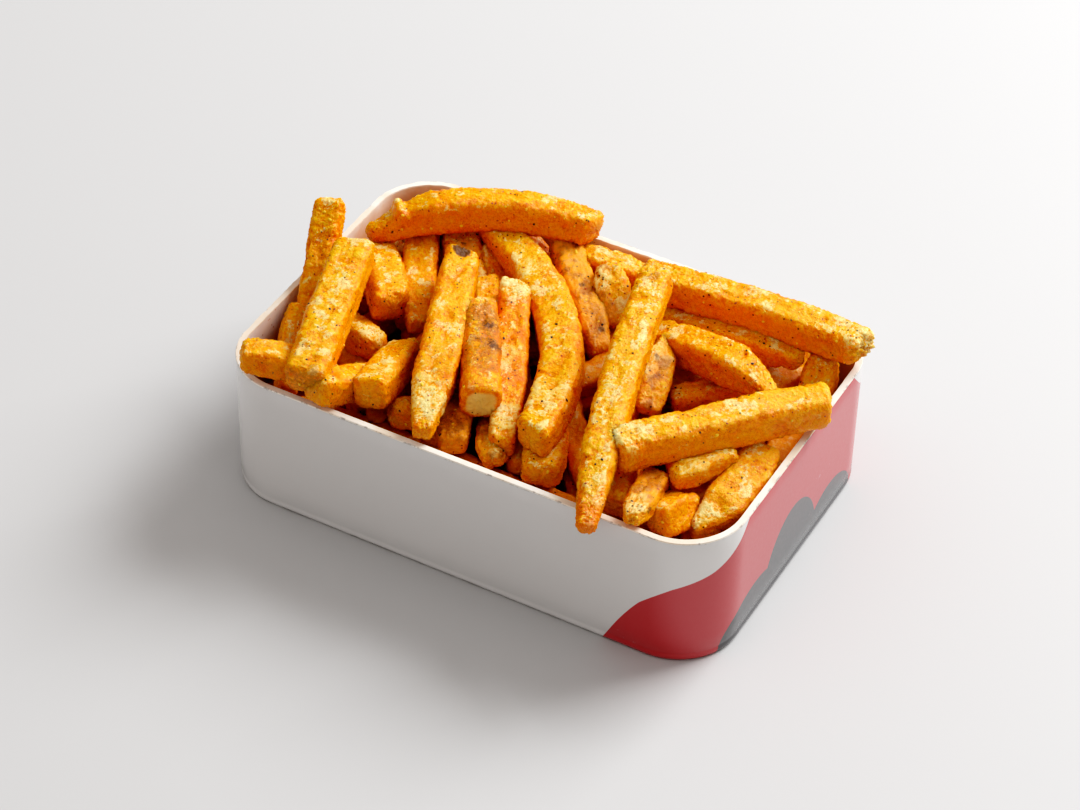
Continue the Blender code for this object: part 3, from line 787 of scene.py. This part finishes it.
def friedCrust(name, shade=1.0, gloss=0.5):
    # shade below 1 darkens every colour: painted shade for the bed fries under the heap
    look = {key: [c * shade for c in colour] for key, colour in fryLooks.items()}
    s = Shader(name, Subsurface_Weight=0.7, Subsurface_Scale=0.002, Subsurface_Radius=(0.8, 0.9, 0.8),
               Specular_IOR_Level=gloss)
    grain = s.attribute("grain", 1)
    relief, skin, brown = s.attribute("relief"), s.attribute("skin"), s.attribute("brown")
    spice, cut, tone = s.attribute("spice"), s.attribute("cut"), s.attribute("tone")
    # the face's upward share: the colours below paint the tops lighter and the sides darker, as painted
    # light and shade
    upper = s.attribute("upper").step(-0.2, 0.95)
    cloud = s.noise(grain, 0.13, 3, 0.55)
    mottle = s.noise(grain, 0.55, 4, 0.6)
    fine = s.noise(grain, 1.45, 4, 0.75)
    grit = s.noise(grain, 3.4, 2, 0.6)

    # the ground colour goes from deep orange in the hollows and on the sides to gold on top: a random
    # mottle of the crust's own tone, with painted shade in the hollows and on the sides and painted light
    # on the tops
    # painted shade: the lower a point lies in the heap, the deeper orange it is painted
    lowInHeapShade = s.place().parts()[2].step(0.041, 0.030)
    # raised bumps are painted paler and hollows deeper: partly the crust's own pale blisters, partly
    # painted light and shade
    raised = relief.above(-0.1)
    corner, whitened = s.attribute("corner"), s.attribute("white").clamp()
    warmthAndShading = mottle * 0.3 + cloud * 0.25 + fine * 0.45 + tone * 0.06 + raised * 0.25 + upper * 0.17
    warmthAndShading = warmthAndShading - corner * 0.07
    colour = s.blend(warmthAndShading.step(0.43, 0.57), look["deep"], look["orange"])
    colour = s.blend(warmthAndShading.step(0.53, 0.67), colour, look["golden"])
    # pale flecks, mostly on tops and bumps: partly the crust's own pale blisters, partly painted
    # highlights
    palenessAndTopLight = mottle * 0.3 + fine * 0.6 + cloud * 0.1 + raised * 0.3 + tone * 0.05 + upper * 0.14
    colour = s.blend(palenessAndTopLight.step(0.63, 0.69) * (upper * 0.6 + 0.3), colour, look["pale"])
    flecks = s.noise(grain, 0.8, 4, 0.7)
    # white flecks, mostly on the tops: partly pale crust, partly painted glints and highlights
    whiteFlecksAndGlints = s.noise(grain, 0.22, 2, 0.5) * 0.6 + flecks * 0.4 + raised * 0.2 + tone * 0.04 + upper * 0.12
    whiteFlecksAndGlints = (whiteFlecksAndGlints - corner * 0.06).step(0.665, 0.72) * (upper * 0.65 + 0.2)
    colour = s.blend(whiteFlecksAndGlints, colour, look["white"])
    craze = (s.noise(grain, 0.55, 4, 0.7) - 0.5).abs()
    toasted = craze.step(0.035, 0.008).above(corner * fine.step(0.44, 0.58) * 0.7)
    colour = s.blend(toasted * 0.6, colour, look["toast"])
    dust = s.noise(grain, 1.3, 3, 0.7) * 0.7 + s.noise(grain, 0.21, 2, 0.5) * 0.3 + spice * 0.1
    dusty = (dust - relief * 0.1 + corner * 0.05).step(0.55, 0.63) * (1 - whitened)
    colour = s.blend(dusty * 0.65, colour, look["spice"])
    # painted shade low in the heap
    colour = s.blend(lowInHeapShade * 0.7, colour, look["deep"])
    colour = s.blend(cut * (0.7 + fine * 0.3), colour, look["cut"])

    # skin, browned ends and pepper
    bark = s.noise(grain, 0.2, 3, 0.6)
    peel = s.blend((bark * 0.8 + fine * 0.2).step(0.46, 0.6), look["skin"], look["bark"])
    peel = s.blend(grit.step(0.54, 0.66) * 0.4, peel, look["golden"])
    eyes = s.cells(grain, 0.2)
    peel = s.blend((eyes + (fine - 0.5) * 0.4).step(0.24, 0.14) * 0.8, peel, look["char"])
    colour = s.blend(skin * 0.85, colour, peel)
    # pale crumpled patches: on skin-on pieces partly painted glints
    paleCrumpleAndGlints = whitened * (fine * 0.6 + mottle * 0.4 + raised * 0.3).step(0.46, 0.6)
    colour = s.blend(paleCrumpleAndGlints * 0.85, colour, look["white"])
    burnt = brown.below(1) * (fine * 1.4 + mottle - 1.2 + brown * 0.4).step(0.05, 0.4)
    colour = s.blend(burnt * 0.8, colour, look["bark"])
    colour = s.blend((brown + (fine - 0.5) * 3.4).step(1.0, 1.7) * 0.85, colour, look["char"])
    chance = s.cells(grain, pepperCells, 1).parts()[0]
    dots = s.cells(grain, pepperCells).step(0.13, 0.09) * chance.step(0.5, 0.52)
    colour = s.blend(dots * 0.9, colour, look["pepper"])
    s.paint(Base_Color=colour, Roughness=0.12 + mottle * 0.22 + skin * 0.1)
    s.bump(mottle * 0.6 + flecks * 0.7 + fine * 0.4 + craze * 0.6, 1.0, 0.0006)
    return s.material


# painted shade: the core's crust is dark red-brown, far darker than a fry's own gold, since it lies in
# shade under the bed
core = dict(gap=1.0, top=24, chamfer=3, rings=9, bump=1.4, lumps=0.12, seed=3, every=3,
            dark=(0.16, 0.02, 0.001), light=(0.45, 0.10, 0.004))


def makeCore(material):
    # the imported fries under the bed, with a lumpy top
    side = carton["wall"] + core["gap"]
    levels = [(side + 1, carton["floor"] + 0.4), (side, carton["floor"] + 1.4), (side, core["top"] * 0.6),
              (side, core["top"] - core["chamfer"]), (side + core["chamfer"], core["top"])]
    shape = bmesh.new()
    rings = []
    for inset, z in levels:
        outline, _ = trayOutline(inset)
        rings.append([(x, y, z) for x, y, way in outline[::core["every"]]])
    rim = rings[-1]
    for k in range(1, core["rings"]):
        shrink = 1 - k / core["rings"]
        rings.append([(x * shrink, y * shrink, z) for x, y, z in rim])
    verts = []
    for level, ring in enumerate(rings):
        lump = core["bump"] if level >= len(levels) - 1 else 0
        line = []
        for x, y, z in ring:
            rise = lump * noise.noise((x * core["lumps"], y * core["lumps"], core["seed"]))
            line.append(shape.verts.new((x * mm, y * mm, (z + rise) * mm)))
        verts.append(line)
    count = len(rim)
    for low, high in zip(verts, verts[1:]):
        for i in range(count):
            shape.faces.new((low[i], low[(i + 1) % count], high[(i + 1) % count], high[i]))
    shape.faces.new(verts[0][::-1])
    peak = shape.verts.new((0, 0, core["top"] * mm))
    for i in range(count):
        shape.faces.new((verts[-1][i], verts[-1][(i + 1) % count], peak))
    for face in shape.faces:
        face.smooth = True
    addToPart(solid("friesCore", shape, material), "fries")


def coreCrust():
    # painted shade: dark red-brown crust for the core under the bed
    s = Shader("deepCrust")
    cloud = s.noise(s.place(), 160, 4, 0.6)
    s.paint(Base_Color=s.blend(cloud.step(0.35, 0.65), core["dark"], core["light"]),
            Roughness=0.5 + cloud * 0.2)
    s.bump(cloud, 0.6, 0.0008)
    return s.material


flakes = dict(
    pepperFlakes=dict(perCm2=1.1, size=(0.16, 0.42), flat=0.6, colour=(0.028, 0.017, 0.01), seed=21),
    spiceFlakes=dict(perCm2=2.6, size=(0.12, 0.34), flat=0.6, colour=(0.33, 0.045, 0.006), seed=22),
    crustCrumbs=dict(perCm2=1.8, size=(0.2, 0.5), flat=0.7, colour=(0.86, 0.40, 0.03), seed=23))


def flakeShape():
    # small lumps scattered over the upper faces of a mesh
    g = Shape("flakes", {"On": "Object", "Per Square Metre": "Float", "Smallest": "Float",
                         "Largest": "Float", "Flatness": "Float", "Seed": "Int", "Material": "Material"})
    surface = g.wire("GeometryNodeObjectInfo", None, {0: g.given("On")}, "Geometry")
    upper = g.wire("GeometryNodeInputNormal").parts()[2].step(-0.3, 0.4)
    density = upper * g.given("Per Square Metre")
    points = g.node("GeometryNodeDistributePointsOnFaces", {"distribute_method": "RANDOM"},
                    {"Mesh": surface, "Density": density, "Seed": g.given("Seed")})
    lump = g.wire("GeometryNodeMeshIcoSphere", None, {"Radius": 1, "Subdivisions": 1})
    size = g.wire("FunctionNodeRandomValue", {"data_type": "FLOAT"},
                  {2: g.given("Smallest"), 3: g.given("Largest"), "Seed": g.given("Seed")}, 1)
    stretch = g.wire("FunctionNodeRandomValue", {"data_type": "FLOAT"}, {2: 0.6, 3: 1.5, "Seed": 5}, 1)
    scale = g.combine(size * stretch, size, size * g.given("Flatness"))
    spread = g.wire("GeometryNodeInstanceOnPoints", None,
                    {"Points": Wire(g, points.outputs["Points"]), "Instance": lump,
                     "Rotation": Wire(g, points.outputs["Rotation"]), "Scale": scale})
    spin = g.wire("FunctionNodeRandomValue", {"data_type": "FLOAT"}, {2: 0, 3: 6.28, "Seed": 9}, 1)
    return g.finish(g.wire("GeometryNodeRotateInstances", None,
                           {"Instances": spread, "Rotation": g.combine(0, 0, spin)}))


def flakeLook(name, colour):
    s = Shader(name)
    vary = s.noise(s.place(), 500, 2, 0.5)
    s.paint(Base_Color=s.blend(vary, colour, [min(1, c * 1.9 + 0.01) for c in colour]),
            Roughness=0.45 + vary * 0.2)
    return s.material


def makeHeap():
    fry, gather, flake = fryShape(), gatherShape(), flakeShape()
    skin = friedCrust("friedCrust")
    groups = dict(friesLeft=friesLeft, friesMiddle=friesMiddle, friesRight=friesRight)
    tops = [makeFries(name, rows, skin, fry, gather) for name, rows in groups.items()]
    # a darker copy of the crust for the bed: painted shade
    shadedBedCrust = friedCrust("friedCrustBed", bed["shade"], bed["gloss"])
    low = makeFries("friesBed", bedFries(), shadedBedCrust, fry, gather, bed["detail"])
    makeCore(coreCrust())
    home = bpy.data.collections.new("tops")
    bpy.context.scene.collection.children.link(home)
    for piece in tops:
        home.objects.link(piece)
    whole = plain(shaped("all", gather, {"Pieces": home, "Material": skin}))
    for name, look in flakes.items():
        values = {"On": whole, "Per Square Metre": look["perCm2"] * 10000.0,
                  "Smallest": look["size"][0] * mm, "Largest": look["size"][1] * mm,
                  "Flatness": look["flat"], "Seed": look["seed"],
                  "Material": flakeLook(name, look["colour"])}
        addToPart(plain(shaped(name, flake, values)), "fries")
    bpy.data.objects.remove(whole, do_unlink=True)
    bpy.data.collections.remove(home)
    for piece in (*tops, low):
        addToPart(piece, "fries")


studio = dict(floor=(0.60, 0.60, 0.60), floorSize=6, sky=(1, 0.95, 0.92), skyLight=0.60,
              tones=((0.03, 0.006), (0.1, 0.065), (0.25, 0.24), (0.6, 0.64)),   # a camera's soft contrast
              lamps=dict(key=dict(place=(0.47, 0.95, 0.94), size=0.8, power=24.5, colour=(0.98, 0.99, 1))))


def makeStage():
    mesh = bpy.data.meshes.new("floor")
    half = studio["floorSize"] / 2
    corners = [(-half, -half, 0), (half, -half, 0), (half, half, 0), (-half, half, 0)]
    mesh.from_pydata(corners, [], [(0, 1, 2, 3)])
    paper = Shader("floorPaper", Roughness=0.6, Base_Color=(*studio["floor"], 1))
    mesh.materials.append(paper.material)
    placed("floor", mesh)
    world = bpy.data.worlds.new("studio")
    bpy.context.scene.world = world
    world.use_nodes = True
    sky = world.node_tree.nodes["Background"]
    sky.inputs["Color"].default_value = (*studio["sky"], 1)
    sky.inputs["Strength"].default_value = studio["skyLight"]
    world.cycles_visibility.glossy = False
    for name, made in studio["lamps"].items():
        lamp = bpy.data.lights.new(name, "AREA")
        lamp.size, lamp.energy, lamp.color = made["size"], made["power"], made["colour"]
        holder = placed(name, lamp)
        holder.location = made["place"]
        holder.rotation_euler = Vector(made["place"]).to_track_quat("Z", "Y").to_euler()


def makeCamera():
    azimuth, elevation, roll = (math.radians(camera[k]) for k in ("azimuth", "elevation", "roll"))
    back = Vector((math.sin(azimuth) * math.cos(elevation), -math.cos(azimuth) * math.cos(elevation),
                   math.sin(elevation)))
    right = Vector((math.cos(azimuth), math.sin(azimuth), 0))
    up = back.cross(right)
    tilted = math.cos(roll) * right + math.sin(roll) * up
    up = back.cross(tilted)
    lens = bpy.data.cameras.new("camera")
    lens.lens, lens.sensor_width, lens.sensor_fit = camera["lens"], camera["sensor"], "HORIZONTAL"
    lens.clip_start, lens.clip_end = 0.01, 20
    holder = placed("camera", lens)
    turned = Matrix((tilted, up, back)).transposed().to_4x4()
    turned.translation = (Vector(camera["target"]) + back * camera["distance"]) * mm
    holder.matrix_world = turned
    bpy.context.scene.camera = holder


makeCamera()
makeStage()
print("stage ready")
makeCarton()
print("carton ready")
makeHeap()
print("heap ready")

view = bpy.context.scene.view_settings
view.view_transform = "Standard"
view.use_curve_mapping = True
toneCurve = view.curve_mapping.curves[3]
for place in studio["tones"]:
    toneCurve.points.new(*place)
view.curve_mapping.update()
